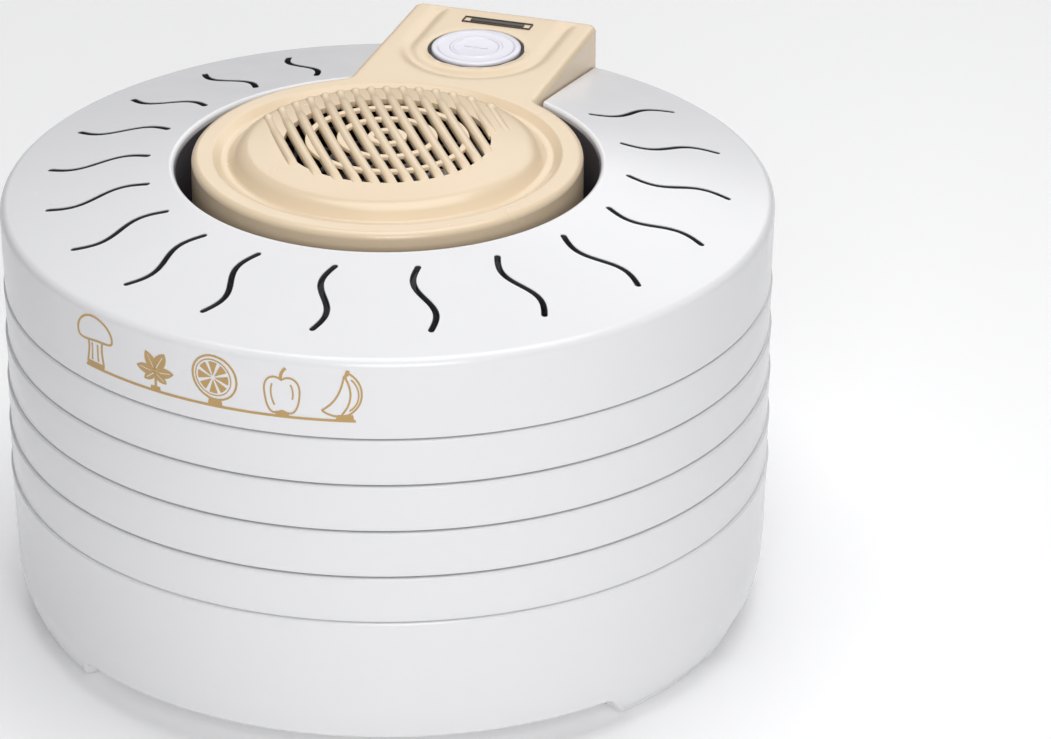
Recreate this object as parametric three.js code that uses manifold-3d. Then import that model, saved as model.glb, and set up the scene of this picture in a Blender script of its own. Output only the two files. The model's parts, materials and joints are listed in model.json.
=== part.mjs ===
// Round food dehydrator: a footed drip bowl, four stacking trays with open floors, a conical
// vented lid, and a lift-out power unit (fan, motor, heater and switch) that drops into the lid.
// Millimetres, +Z up. The origin is on the ground on the stack's axis; +Y points along the
// power unit's tongue, towards the back.
import * as THREE from 'three';
import { mergeVertices } from 'three/addons/utils/BufferGeometryUtils.js';
import Module from 'manifold-3d';

const wasm = await Module();
wasm.setup();

// Driving dimensions
const OUTER_RADIUS = 165;      // widest ring of the lid
const WALL = 2.5;              // moulded wall thickness
const GAP = 0.3;               // clearance between pieces that touch
const RING_SEGMENTS = 36;      // facets round every large ring
const SMALL_SEGMENTS = 14;

const BASE_HEIGHT = 71;        // ground to the first seam
const FLOOR_HEIGHT = 13.5;     // underside of the bowl between its feet
const FOOT_COUNT = 3;
const FOOT_TURN = 105;         // degrees from +X to the first foot
const FOOT_TOP_HALF = 51.5;    // half width of a foot where it meets the bowl
const FOOT_TIP_HALF = 39;      // half width of a foot on the ground

const TRAY_COUNT = 4;
const TRAY_PITCH = 21;
const TRAY_FLOOR = 2.5;        // underside of a tray's floor above its seam
const TRAY_FLOOR_THICKNESS = 2.2;
const HUB_RADIUS = 32;         // air hole in the middle of each tray
const SKIRT_RADIUS = 160.9;    // locating skirt that drops into the piece below
const SKIRT_DROP = 3.5;

const LID_SEAM = BASE_HEIGHT + TRAY_COUNT * TRAY_PITCH;
const LID_EDGE = 189.7;        // outer rim of the conical top
const WELL_EDGE = 205.4;       // inner rim of the conical top
const WELL_RADIUS = 90.7;      // hole that takes the power unit
const WELL_FLOOR = 161.5;
const SLOT_FIRST = 37;         // degrees from the tongue to the first wavy vent
const SLOT_STEPS = 8;          // vents to each side of the middle one
const SLOT_PITCH_NEAR = 16.4;  // degrees between vents before the middle one
const SLOT_PITCH_FAR = 19;     // and after it
const SLOT_INNER = 103;
const SLOT_OUTER = 145;
const SLOT_WAVE = 3.3;
const SLOT_WIDTH = 2.8;
const TROUGH_HALF = 43.8;      // channel in the lid that takes the tongue
const TROUGH_FLOOR = 185.3;

const HEAD_RADIUS = 83.3;      // power unit
const HEAD_TOP = 209;
const HEAD_BOTTOM = 164.7;
const GROOVE_OUTER = 73;
const GROOVE_INNER = 66;
const DOME_TOP = 217.6;
const SLAT_PITCH = 6.6;
const SLAT_WIDTH = 4.0;
const SLAT_TURN = -57;         // degrees from +X
const GRILLE_RADIUS = 46;
const TONGUE_HALF = 43;
const TONGUE_END = 163;
const TONGUE_BOTTOM = 186;
const SKIN_UNDERSIDE = HEAD_TOP - WALL;

const BUTTON_CENTRE = 119;     // distance of the push button from the axis
const BUTTON_RADIUS = 20.5;
const BADGE_CENTRE = 149;

const DUCT_INNER = 63;         // air duct round the fan and heater
const DUCT_OUTER = 66;
const DUCT_TOP = 183;
const DUCT_BOTTOM = 157.5;
const PLATE_BOTTOM = 161.8;
const PLATE_TOP = 164.3;
const POST_RADIUS = 74;        // circle of screw posts inside the power unit

const rad = THREE.MathUtils.degToRad;

const plastic = (color, roughness = 0.3) => new THREE.MeshStandardMaterial({ color, roughness });
const metal = (color, roughness = 0.4) =>
  new THREE.MeshStandardMaterial({ color, roughness, metalness: 1 });
const MATERIALS = {
  white: () => plastic(0xf1f1f3),
  cream: () => plastic(0xecdbbd, 0.35),
  button: () => plastic(0xe9e7ef, 0.3),
  badge: () => plastic(0x5a5148, 0.45),
  black: () => plastic(0x1c1c1e, 0.6),
  rubber: () => plastic(0x9b9ba0, 0.85),
  steel: () => metal(0xb9bbbe),
  lamination: () => metal(0x70747a, 0.55),
  copper: () => metal(0xb56b3a, 0.35),
  mica: () => plastic(0xb9a98c, 0.7),
  lead: () => plastic(0x8d2f2a, 0.55),
  fan: () => plastic(0x3a3d42, 0.5),
};

// Geometry helpers

function closed(geometry) {
  const bare = geometry.index ? geometry.toNonIndexed() : geometry.clone();
  bare.deleteAttribute('normal');
  bare.deleteAttribute('uv');
  const merged = mergeVertices(bare, 1e-4);
  const position = merged.attributes.position;
  const kept = [];
  const corners = [new THREE.Vector3(), new THREE.Vector3(), new THREE.Vector3()];
  let volume = 0;
  for (let i = 0; i < merged.index.count; i += 3) {
    const face = [0, 1, 2].map((k) => merged.index.getX(i + k));
    if (new Set(face).size < 3) continue;
    face.forEach((vertex, k) => corners[k].fromBufferAttribute(position, vertex));
    volume += corners[0].dot(corners[1].clone().cross(corners[2]));
    kept.push(face);
  }
  merged.setIndex(kept.flatMap((face) => (volume < 0 ? face.reverse() : face)));
  return merged;
}

function solid(geometry) {
  const shell = closed(geometry);
  return new wasm.Manifold(new wasm.Mesh({
    numProp: 3,
    vertProperties: new Float32Array(shell.attributes.position.array),
    triVerts: new Uint32Array(shell.index.array),
  }));
}

function surface(manifold) {
  const mesh = manifold.getMesh();
  const geometry = new THREE.BufferGeometry();
  geometry.setAttribute('position', new THREE.BufferAttribute(mesh.vertProperties, 3));
  geometry.setIndex(new THREE.BufferAttribute(mesh.triVerts, 1));
  return geometry;
}

const join = (first, ...rest) => surface(rest.reduce((sum, g) => sum.add(solid(g)), solid(first)));
const cut = (first, ...rest) => surface(rest.reduce((sum, g) => sum.subtract(solid(g)), solid(first)));
const common = (first, second) => surface(solid(first).intersect(solid(second)));

// A ring or disc about the Z axis, from its [radius, height] outline.
function turned(outline, segments = RING_SEGMENTS) {
  const first = outline[0];
  const last = outline[outline.length - 1];
  const ring = first[0] > 0 || last[0] > 0 ? [...outline, first] : outline;
  const profile = ring.map(([r, z]) => new THREE.Vector2(r, z));
  return new THREE.LatheGeometry(profile, segments).rotateX(Math.PI / 2);
}

function box(width, depth, height, x, y, bottom) {
  return new THREE.BoxGeometry(width, depth, height).translate(x, y, bottom + height / 2);
}

function drum(radius, bottom, top, x = 0, y = 0, segments = SMALL_SEGMENTS) {
  return new THREE.CylinderGeometry(radius, radius, top - bottom, segments)
    .rotateX(Math.PI / 2)
    .translate(x, y, (bottom + top) / 2);
}

function ring(inner, outer, bottom, top, x = 0, y = 0, segments = SMALL_SEGMENTS) {
  return turned([[inner, bottom], [outer, bottom], [outer, top], [inner, top]], segments)
    .translate(x, y, 0);
}

function slab(shape, bottom, top) {
  const geometry = new THREE.ExtrudeGeometry(shape, {
    depth: top - bottom, bevelEnabled: false, curveSegments: 6,
  });
  return geometry.translate(0, 0, bottom);
}

function roundedOutline(halfWidth, front, back, corner) {
  const shape = new THREE.Shape();
  shape.moveTo(halfWidth, front);
  shape.lineTo(halfWidth, back - corner);
  shape.absarc(halfWidth - corner, back - corner, corner, 0, Math.PI / 2);
  shape.lineTo(-halfWidth + corner, back);
  shape.absarc(-halfWidth + corner, back - corner, corner, Math.PI / 2, Math.PI);
  shape.lineTo(-halfWidth, front);
  return shape;
}

function wire(points, radius, steps, sides = 5) {
  const section = new THREE.Shape();
  for (let i = 0; i < sides; i += 1) {
    const angle = (2 * Math.PI * i) / sides;
    const move = i === 0 ? 'moveTo' : 'lineTo';
    section[move](radius * Math.cos(angle), radius * Math.sin(angle));
  }
  const path = new THREE.CatmullRomCurve3(points.map((p) => new THREE.Vector3(...p)));
  return new THREE.ExtrudeGeometry(section, { extrudePath: path, steps });
}

const polar = (radius, degrees) => [radius * Math.cos(rad(degrees)), radius * Math.sin(rad(degrees))];

const HUB_OUTLINE = Array.from({ length: 18 }, (_, i) => new THREE.Vector2(...polar(HUB_RADIUS, 20 * i)));

// A flat grid of concentric ribs joined by spokes.
function webShape(outer, bands, spokes, rib) {
  const shape = new THREE.Shape();
  const corner = (target, move, radius, degrees) => target[move](...polar(radius, degrees));
  for (let i = 0; i < RING_SEGMENTS; i += 1) {
    corner(shape, i === 0 ? 'moveTo' : 'lineTo', outer, (360 * i) / RING_SEGMENTS);
  }
  for (const [inner, reach] of bands) {
    for (let i = 0; i < spokes; i += 1) {
      const middle = (360 * (i + 0.5)) / spokes;
      const half = (radius) => 180 / spokes - THREE.MathUtils.radToDeg(rib / 2 / radius);
      const hole = new THREE.Path();
      corner(hole, 'moveTo', inner, middle - half(inner));
      corner(hole, 'lineTo', inner, middle + half(inner));
      corner(hole, 'lineTo', reach, middle + half(reach));
      corner(hole, 'lineTo', reach, middle - half(reach));
      shape.holes.push(hole);
    }
  }
  return shape;
}

// Pieces

const group = new THREE.Group();
const base = new THREE.Group();
const trays = new THREE.Group();
const lid = new THREE.Group();
const powerUnit = new THREE.Group();
group.add(base, trays, lid, powerUnit);

function add(parent, name, material, geometry, place = [0, 0, 0], turn = 0) {
  const shell = closed(geometry);
  shell.computeVertexNormals();
  const mesh = new THREE.Mesh(shell, MATERIALS[material]());
  mesh.name = name;
  mesh.position.set(...place);
  mesh.rotation.z = turn;
  parent.add(mesh);
}

function footAngle(index) {
  return rad(FOOT_TURN + (360 * index) / FOOT_COUNT);
}

// The side-on outline of one foot, with S-shaped flanks, pushed through the bowl's wall.
function footBlock(index, bottom, top) {
  const shape = new THREE.Shape();
  const steps = 4;
  const flank = [];
  for (let i = 0; i <= steps; i += 1) {
    const t = i / steps;
    const ease = t * t * (3 - 2 * t);
    flank.push([FOOT_TOP_HALF - (FOOT_TOP_HALF - FOOT_TIP_HALF) * t, top + (bottom - top) * ease]);
  }
  shape.moveTo(FOOT_TOP_HALF, top + 1);
  flank.forEach(([x, z]) => shape.lineTo(x, z));
  flank.reverse().forEach(([x, z]) => shape.lineTo(-x, z));
  shape.lineTo(-FOOT_TOP_HALF, top + 1);
  return new THREE.ExtrudeGeometry(shape, { depth: OUTER_RADIUS, bevelEnabled: false })
    .rotateX(Math.PI / 2)
    .rotateZ(Math.PI)
    .rotateZ(footAngle(index) - Math.PI / 2);
}

function bowl() {
  const skirt = [[162.4, 25], [163.2, 40], [163.6, 55], [164.6, BASE_HEIGHT - 0.15]];
  const outside = [[155.5, FLOOR_HEIGHT], [159, 15.4], ...skirt];
  const inside = [[162, BASE_HEIGHT - 0.15], [161.1, 55], [160.7, 40], [159.8, 27], [157.6, 17.5],
    [155.5, FLOOR_HEIGHT + WALL]];
  return turned([[0, FLOOR_HEIGHT], ...outside, ...inside, [0, FLOOR_HEIGHT + WALL]]);
}

// A moulded foot that carries the line of the bowl's wall down to the ground.
function foot(index) {
  const top = FLOOR_HEIGHT - GAP;
  const sector = turned([[126, 0], [148, 0], [152, 1.2], [155.4, 5.2], [157.6, top], [126, top]]);
  return common(sector, footBlock(index, -1, top));
}

function trayRing() {
  const rim = TRAY_PITCH - 0.15;
  const shelf = TRAY_FLOOR - GAP;
  return turned([[163.6, 0.15], [164.6, rim], [162, rim], [160.8, shelf], [155, shelf],
    [157, -SKIRT_DROP], [SKIRT_RADIUS, -SKIRT_DROP], [SKIRT_RADIUS, 0.15]]);
}

function trayFloor() {
  const shape = webShape(160.2, [[40, 94], [98, 155]], 12, 3.2);
  shape.holes.push(new THREE.Path().setFromPoints(HUB_OUTLINE));
  return slab(shape, TRAY_FLOOR, TRAY_FLOOR + TRAY_FLOOR_THICKNESS);
}

const lidSkin = [[164.1, LID_SEAM + 0.15], [OUTER_RADIUS, LID_EDGE - 3.6], [164.2, LID_EDGE - 1],
  [162, LID_EDGE], [93.9, WELL_EDGE - GAP]];

function ventAngle(index) {
  const near = Math.min(index, SLOT_STEPS) * SLOT_PITCH_NEAR;
  return rad(SLOT_FIRST + near + Math.max(index - SLOT_STEPS, 0) * SLOT_PITCH_FAR);
}

function ventCutter(index) {
  const steps = 6;
  const left = [];
  const right = [];
  for (let i = 0; i <= steps; i += 1) {
    const t = i / steps;
    const y = SLOT_INNER + (SLOT_OUTER - SLOT_INNER) * t;
    const wave = SLOT_WAVE * Math.sin(2 * Math.PI * t);
    left.push([wave - SLOT_WIDTH / 2, y]);
    right.unshift([wave + SLOT_WIDTH / 2, y]);
  }
  const outline = [...left, [0, SLOT_OUTER + SLOT_WIDTH / 2], ...right,
    [0, SLOT_INNER - SLOT_WIDTH / 2]];
  const shape = new THREE.Shape(outline.map(([x, y]) => new THREE.Vector2(x, y)));
  return slab(shape, 180, 215).rotateZ(ventAngle(index));
}

function lidCover() {
  let body = solid(turned([...lidSkin, [93.9, WELL_EDGE - 3.1], [161.2, LID_EDGE - 2.6],
    [162.4, LID_EDGE - 4.4], [161.5, LID_SEAM + 3], [158.5, LID_SEAM],
    [158.5, LID_SEAM - SKIRT_DROP], [SKIRT_RADIUS, LID_SEAM - SKIRT_DROP],
    [SKIRT_RADIUS, LID_SEAM + 0.15]]));
  const notch = 2 * (TROUGH_HALF + WALL + GAP);
  body = body.subtract(solid(box(notch, 120, 40, 0, 120, TROUGH_FLOOR - WALL - GAP)));
  for (let i = 0; i <= 2 * SLOT_STEPS; i += 1) body = body.subtract(solid(ventCutter(i)));
  return surface(body);
}

// The well that takes the power unit, with the trough that takes its tongue.
function lidWell() {
  const outline = [[80, WELL_FLOOR - WALL], [93, WELL_FLOOR - WALL], [93.6, WELL_EDGE - GAP],
    [92.8, WELL_EDGE], [WELL_RADIUS, WELL_EDGE - 1], [90.4, WELL_FLOOR], [80, WELL_FLOOR]];
  const envelope = turned([[0, LID_SEAM], ...lidSkin, [0, WELL_EDGE]]);
  const block = box(2 * (TROUGH_HALF + WALL), 120, 30, 0, 120, TROUGH_FLOOR - WALL);
  const bore = drum(90.6, 150, 220, 0, 0, RING_SEGMENTS);
  const trough = cut(common(block, envelope), bore);
  return cut(join(turned(outline), trough), box(2 * TROUGH_HALF, 120, 40, 0, 120, TROUGH_FLOOR));
}

function slatGaps(bottom, top) {
  const cutters = [];
  const gap = SLAT_PITCH - SLAT_WIDTH;
  for (let i = -6; i <= 6; i += 1) {
    const offset = i * SLAT_PITCH;
    const length = 2 * Math.sqrt(GRILLE_RADIUS ** 2 - offset ** 2);
    cutters.push(box(length, gap, top - bottom, 0, offset, bottom).rotateZ(rad(SLAT_TURN)));
  }
  return cutters;
}

const SCREW_POSTS = [45, 135, 225, 315];
const MOUNT_POSTS = [0, 180];
const COVER_POST = [33, 146];

function topHousing() {
  const dome = [[GROOVE_INNER, 208.2], [48, 213.8], [0, DOME_TOP]];
  const domeInside = [[64.6, 206], [47, 211.4], [0, DOME_TOP - WALL]];
  const outside = turned([[0, HEAD_BOTTOM], [82.6, HEAD_BOTTOM], [HEAD_RADIUS, 205],
    [82.4, 207.9], [79.6, HEAD_TOP], [GROOVE_OUTER, HEAD_TOP], [71.8, 206.8], [67.2, 206.6],
    ...dome]);
  const inside = turned([[0, HEAD_BOTTOM - 1], [80.1, HEAD_BOTTOM - 1], [80.7, 204.4],
    [79, SKIN_UNDERSIDE], [74.6, SKIN_UNDERSIDE], [73.4, 204.2], [65.8, 204.2], ...domeInside]);
  const tongueOutside = slab(roundedOutline(TONGUE_HALF, 40, TONGUE_END, 6), TONGUE_BOTTOM,
    HEAD_TOP);
  const tongueInside = slab(roundedOutline(TONGUE_HALF - WALL, 76, TONGUE_END - WALL, 4),
    TONGUE_BOTTOM - 1, SKIN_UNDERSIDE);
  const bareInside = solid(inside);
  let body = solid(outside).add(solid(tongueOutside).subtract(solid(drum(GROOVE_OUTER + 4, 180,
    215, 0, 0, RING_SEGMENTS))));
  body = body.subtract(bareInside).subtract(solid(tongueInside));
  const post = (x, y, radius, bottom) => drum(radius, bottom, SKIN_UNDERSIDE + 0.5, x, y, 8);
  const bore = (x, y, bottom, top) => drum(1.9, bottom, top, x, y, 6);
  const posts = [
    ...SCREW_POSTS.map((angle) => [...polar(POST_RADIUS, angle), HEAD_BOTTOM]),
    ...MOUNT_POSTS.map((angle) => [...polar(POST_RADIUS - 2, angle), 186.3]),
    [...COVER_POST, 188.8],
  ];
  for (const [x, y, bottom] of posts) {
    body = body.add(solid(post(x, y, 4.2, bottom)));
    body = body.subtract(solid(bore(x, y, bottom - 1, bottom + 10)));
  }
  for (const gap of slatGaps(200, 225)) body = body.subtract(solid(gap));
  body = body.subtract(solid(drum(BUTTON_RADIUS + 0.9, 200, 215, 0, BUTTON_CENTRE, 24)));
  body = body.subtract(solid(channelRound()));
  const cordHole = drum(5, -10, 10, 0, 0, 16).rotateX(Math.PI / 2).translate(0, TONGUE_END, 197);
  return surface(body.subtract(solid(cordHole)));
}

// The shallow U-shaped channel moulded round the button, open towards the back.
function channelRound() {
  const outer = new THREE.Shape();
  outer.moveTo(33, TONGUE_END + 1);
  outer.lineTo(33, BUTTON_CENTRE);
  outer.absarc(0, BUTTON_CENTRE, 33, 0, Math.PI, true);
  outer.lineTo(-33, TONGUE_END + 1);
  outer.lineTo(-29, TONGUE_END + 1);
  outer.lineTo(-29, BUTTON_CENTRE);
  outer.absarc(0, BUTTON_CENTRE, 29, Math.PI, 0, false);
  outer.lineTo(29, TONGUE_END + 1);
  return slab(outer, HEAD_TOP - 0.8, HEAD_TOP + 1);
}

function headScrew(length, headRadius = 3.2) {
  return turned([[0, 0], [headRadius, 0], [headRadius, 1.6], [1.5, 2], [1.5, length], [0, length]],
    10);
}

add(base, 'base_bowl', 'white', bowl());
for (let i = 0; i < FOOT_COUNT; i += 1) add(base, `foot_${i + 1}`, 'white', foot(i));

for (let i = 0; i < TRAY_COUNT; i += 1) {
  const place = [0, 0, BASE_HEIGHT + i * TRAY_PITCH];
  add(trays, `tray_${TRAY_COUNT - i}_ring`, 'white', trayRing(), place);
  add(trays, `tray_${TRAY_COUNT - i}_floor`, 'white', trayFloor(), place);
}

add(lid, 'lid_cover', 'white', lidCover());
add(lid, 'lid_well', 'white', lidWell());

add(powerUnit, 'top_housing', 'cream', topHousing());
add(powerUnit, 'intake_guard', 'black',
  slab(webShape(61, [[6, 19], [22, 38], [41, 57]], 8, 2.4), 204.8, 206.6));

function bottomHousing() {
  const body = turned([[DUCT_INNER, DUCT_BOTTOM], [DUCT_OUTER, DUCT_BOTTOM],
    [DUCT_OUTER, PLATE_BOTTOM], [87, PLATE_BOTTOM], [87, PLATE_TOP], [DUCT_OUTER, PLATE_TOP],
    [DUCT_OUTER, DUCT_TOP], [DUCT_INNER, DUCT_TOP]]);
  const holes = SCREW_POSTS.map((angle) => drum(1.9, 160, 166, ...polar(POST_RADIUS, angle), 8));
  const leadHole = box(8, 10, 6, 0, 64.5, 166);
  return cut(body, ...holes, leadHole);
}
add(powerUnit, 'bottom_housing', 'black', bottomHousing());
add(powerUnit, 'outlet_guard', 'steel',
  slab(webShape(62.6, [[8, 32], [35, 59]], 8, 2), DUCT_BOTTOM, DUCT_BOTTOM + 1.6));
SCREW_POSTS.forEach((angle, i) => {
  const place = [...polar(POST_RADIUS, angle), PLATE_BOTTOM - 1.9];
  add(powerUnit, `housing_screw_${i + 1}`, 'steel', headScrew(10.5), place);
});

function tongueCover() {
  const plate = slab(roundedOutline(TONGUE_HALF - WALL - GAP, 84, TONGUE_END - WALL - GAP, 4),
    TONGUE_BOTTOM, TONGUE_BOTTOM + WALL);
  const sink = drum(3.6, TONGUE_BOTTOM - 1, TONGUE_BOTTOM + 1.4, ...COVER_POST, 10);
  return cut(plate, sink, drum(1.9, TONGUE_BOTTOM - 1, TONGUE_BOTTOM + 4, ...COVER_POST, 8));
}
add(powerUnit, 'tongue_cover', 'black', tongueCover());
add(powerUnit, 'cover_screw', 'steel',
  turned([[0, 0], [3.2, 0], [3.2, 1.1], [1.5, 1.1], [1.5, 10], [0, 10]], 10),
  [...COVER_POST, TONGUE_BOTTOM]);

add(powerUnit, 'badge_plate', 'badge', box(32, 6, 0.9, 0, BADGE_CENTRE, HEAD_TOP + GAP));

// Push button, with its guide, spring, plunger and switch
const BUTTON = [0, BUTTON_CENTRE, 0];
const BUTTON_TOP = 211;
add(powerUnit, 'power_button', 'button', turned([[0, 207.6], [17.5, 207.6], [17.5, 204.4],
  [23, 204.4], [23, 206.2], [BUTTON_RADIUS, 206.2], [BUTTON_RADIUS, 209.6], [19.2, BUTTON_TOP - 0.2],
  [0, BUTTON_TOP]], 24), BUTTON);
add(powerUnit, 'button_guide', 'cream', ring(23.6, 26, 199, 206.2, 0, 0, 18), BUTTON);
add(powerUnit, 'switch_plunger', 'black', drum(3.4, 195, 207.3, 0, 0, 12), BUTTON);
add(powerUnit, 'switch_body', 'black',
  cut(box(26, 20, 8.2, 0, 0, TONGUE_BOTTOM + WALL + GAP), drum(4, 191, 200, 0, 0, 12)), BUTTON);

function buttonSpring() {
  const turns = 2.5;
  const steps = 20;
  const points = [];
  for (let i = 0; i <= steps; i += 1) {
    const angle = (2 * Math.PI * turns * i) / steps;
    points.push([6.6 * Math.cos(angle), 6.6 * Math.sin(angle), 198 + (8.8 * i) / steps]);
  }
  return wire(points, 0.6, steps, 5);
}
add(powerUnit, 'button_spring', 'steel', buttonSpring(), BUTTON);

// Motor: a laminated C-frame with its coil on the front leg
const STACK_BOTTOM = 188.6;
const STACK_TOP = 200;
const ROTOR_BORE = 15.5;
const COIL_Y = -40;
const BOLT_X = 22;

function statorStack() {
  const shape = new THREE.Shape();
  shape.moveTo(-28, -46);
  shape.lineTo(28, -46);
  shape.lineTo(28, 14);
  shape.lineTo(20, 20);
  shape.lineTo(-20, 20);
  shape.lineTo(-28, 14);
  const window = new THREE.Path();
  window.moveTo(-17, -34);
  window.lineTo(17, -34);
  window.lineTo(17, -20);
  window.lineTo(-17, -20);
  shape.holes.push(window);
  const bolts = [-BOLT_X, BOLT_X].map((x) => drum(1.9, 180, 210, x, 0, 8));
  return cut(slab(shape, STACK_BOTTOM, STACK_TOP), drum(ROTOR_BORE, 180, 210, 0, 0, 24), ...bolts);
}
add(powerUnit, 'stator_stack', 'lamination', statorStack());

const LEG_MIDDLE = (STACK_BOTTOM + STACK_TOP) / 2;
function sleeve(length, inner, outer, x) {
  const tall = (half) => 2 * (half - 0.3);
  const block = box(length, 2 * outer, tall(outer), x, COIL_Y, LEG_MIDDLE - outer + 0.3);
  return [block, box(length + 4, 2 * inner, tall(inner), x, COIL_Y, LEG_MIDDLE - inner + 0.3)];
}
function coilBobbin() {
  const [core, hole] = sleeve(31.6, 6.3, 7.3, 0);
  const [left] = sleeve(1.4, 6.3, 10.4, -15.1);
  const [right] = sleeve(1.4, 6.3, 10.4, 15.1);
  return cut(join(core, left, right), hole);
}
add(powerUnit, 'coil_bobbin', 'black', coilBobbin());
add(powerUnit, 'stator_coil', 'copper', cut(...sleeve(28.2, 7.6, 10.2, 0)));

function bearingBracket(bottom) {
  const strap = slab(roundedStrap(27, 8), bottom, bottom + 2);
  const bolts = [-BOLT_X, BOLT_X].map((x) => drum(1.9, 180, 210, x, 0, 8));
  return cut(strap, drum(6.3, 180, 210, 0, 0, 16), ...bolts);
}
function roundedStrap(halfLength, halfWidth) {
  const shape = new THREE.Shape();
  shape.moveTo(-halfLength + 3, -halfWidth);
  shape.lineTo(halfLength - 3, -halfWidth);
  shape.lineTo(halfLength, -halfWidth + 3);
  shape.lineTo(halfLength, halfWidth - 3);
  shape.lineTo(halfLength - 3, halfWidth);
  shape.lineTo(-halfLength + 3, halfWidth);
  shape.lineTo(-halfLength, halfWidth - 3);
  shape.lineTo(-halfLength, -halfWidth + 3);
  return shape;
}
add(powerUnit, 'lower_bearing_bracket', 'steel', bearingBracket(186.3));
add(powerUnit, 'upper_bearing_bracket', 'steel', bearingBracket(200.3));
add(powerUnit, 'lower_bearing', 'copper', ring(2.8, 6, 185.9, 188.6, 0, 0, 16));
add(powerUnit, 'upper_bearing', 'copper', ring(2.8, 6, 200.2, 203, 0, 0, 16));

function motorMount() {
  const bar = slab(roundedStrap(77, 9), 183.9, 186);
  const holes = [-BOLT_X, BOLT_X].map((x) => drum(1.9, 180, 190, x, 0, 8));
  const ends = MOUNT_POSTS.map((angle) => drum(1.9, 180, 190, ...polar(POST_RADIUS - 2, angle), 8));
  return cut(bar, drum(8, 180, 190), ...holes, ...ends);
}
add(powerUnit, 'motor_mount', 'steel', motorMount());
MOUNT_POSTS.forEach((angle, i) => {
  const place = [...polar(POST_RADIUS - 2, angle), 181.6];
  add(powerUnit, `mount_screw_${i + 1}`, 'steel', headScrew(12), place);
});
[-BOLT_X, BOLT_X].forEach((x, i) => {
  const bolt = turned([[0, 183.6], [1.5, 183.6], [1.5, 202.6], [3, 202.6], [3, 203.3], [0, 203.3]],
    10);
  add(powerUnit, `motor_bolt_${i + 1}`, 'steel', bolt, [x, 0, 0]);
});

// Fan, rotor and shaft turn together
add(powerUnit, 'rotor', 'lamination', ring(2.8, 14.5, 189, 199.6, 0, 0, 24));
add(powerUnit, 'motor_shaft', 'steel', drum(2.4, 168.6, 203.2, 0, 0, 12));

const BLADE_COUNT = 7;
function fanImpeller() {
  const blades = [];
  for (let i = 0; i < BLADE_COUNT; i += 1) {
    const blade = new THREE.BoxGeometry(46, 20, 1.6).rotateX(rad(28));
    blades.push(blade.translate(31, 0, 176.3).rotateZ((2 * Math.PI * i) / BLADE_COUNT));
  }
  const hub = drum(11, 171.4, 181.6);
  return cut(join(hub, ...blades), drum(2.8, 165, 190, 0, 0, 12));
}
add(powerUnit, 'fan_impeller', 'fan', fanImpeller());
add(powerUnit, 'fan_nut', 'steel', ring(2.8, 5, 168.3, 171, 0, 0, 6));

// Heater: two crossed mica boards carry the coils
const COIL_RADII = [28, 45];
const COIL_HEIGHT = 164.2;
const BOARD_BOTTOM = 160.3;
const BOARD_TOP = 167.5;
function micaBoard(fromTop) {
  const board = box(118, 1.2, BOARD_TOP - BOARD_BOTTOM, 0, 0, BOARD_BOTTOM);
  const half = COIL_HEIGHT + (fromTop ? -GAP : GAP);
  const cross = fromTop ? box(1.8, 4, 10, 0, 0, half) : box(1.8, 4, 10, 0, 0, half - 10);
  const notches = COIL_RADII.flatMap((r) => [box(5.2, 4, 8, r, 0, 161.6), box(5.2, 4, 8, -r, 0, 161.6)]);
  return cut(board, cross, ...notches);
}
add(powerUnit, 'mica_board_1', 'mica', micaBoard(true));
add(powerUnit, 'mica_board_2', 'mica', micaBoard(false), [0, 0, 0], Math.PI / 2);
COIL_RADII.forEach((radius, i) => {
  const coil = new THREE.TorusGeometry(radius, 2.1, 5, i === 0 ? 16 : 24);
  add(powerUnit, `heater_coil_${i + 1}`, 'steel', coil, [0, 0, COIL_HEIGHT]);
});

// Electrical pieces and leads
add(powerUnit, 'thermostat', 'black', drum(6.4, PLATE_TOP + GAP, 171, ...polar(73.4, 66)));
add(powerUnit, 'thermal_fuse', 'mica',
  drum(2.2, -7, 7, 0, 0, 10).rotateY(Math.PI / 2).rotateZ(rad(26)).translate(...polar(73.4, 116), 167));
add(powerUnit, 'terminal_block', 'mica', box(20, 10, 9, 0, 92, TONGUE_BOTTOM + WALL + GAP));

const rightLead = [[17, -49, 202], [25, -51, 201.6], [36, -47, 199], [52, -31, 197], [60, 0, 197],
  [54, 32, 197], [34, 62, 196], [14, 79, 192], [6, 86.3, 191]];
add(powerUnit, 'motor_lead_1', 'lead', wire(rightLead, 1, 13));
add(powerUnit, 'motor_lead_2', 'lead', wire(rightLead.map(([x, y, z]) => [-x, y, z]), 1, 13));
add(powerUnit, 'heater_lead', 'lead',
  wire([[0, 86.5, 191], [0, 80, 188], [0, 74, 178], [0, 69, 170], [0, 60, 168.6]], 1, 10));
add(powerUnit, 'thermostat_lead', 'lead',
  wire([[29.5, 67, 171.5], [27, 68, 180], [25, 71, 188], [20, 82, 192], [10.7, 92, 193]], 1, 10));
add(powerUnit, 'switch_lead', 'lead', wire([[0, 97.5, 194], [0, 103, 195], [0, 108.6, 194]], 1, 6));
add(powerUnit, 'supply_lead', 'lead',
  wire([[0, 159.8, 197], [3, 148, 196], [-3, 138, 194], [0, 129.4, 193]], 1, 10));

const gland = turned([[3, -3.6], [4.6, -3.6], [4.6, 0.3], [7, 0.3], [7, 2], [3, 2]], 16)
  .rotateX(-Math.PI / 2)
  .translate(0, TONGUE_END, 197);
add(powerUnit, 'cord_gland', 'rubber', gland);

export default group;
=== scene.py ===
"""Round food dehydrator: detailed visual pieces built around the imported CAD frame."""
import json
from math import atan2, cos, exp, hypot, pi, radians, sin, sqrt, tan, tau

import bmesh
import bpy
from mathutils import Matrix, Vector, kdtree
from mathutils.geometry import delaunay_2d_cdt

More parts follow.
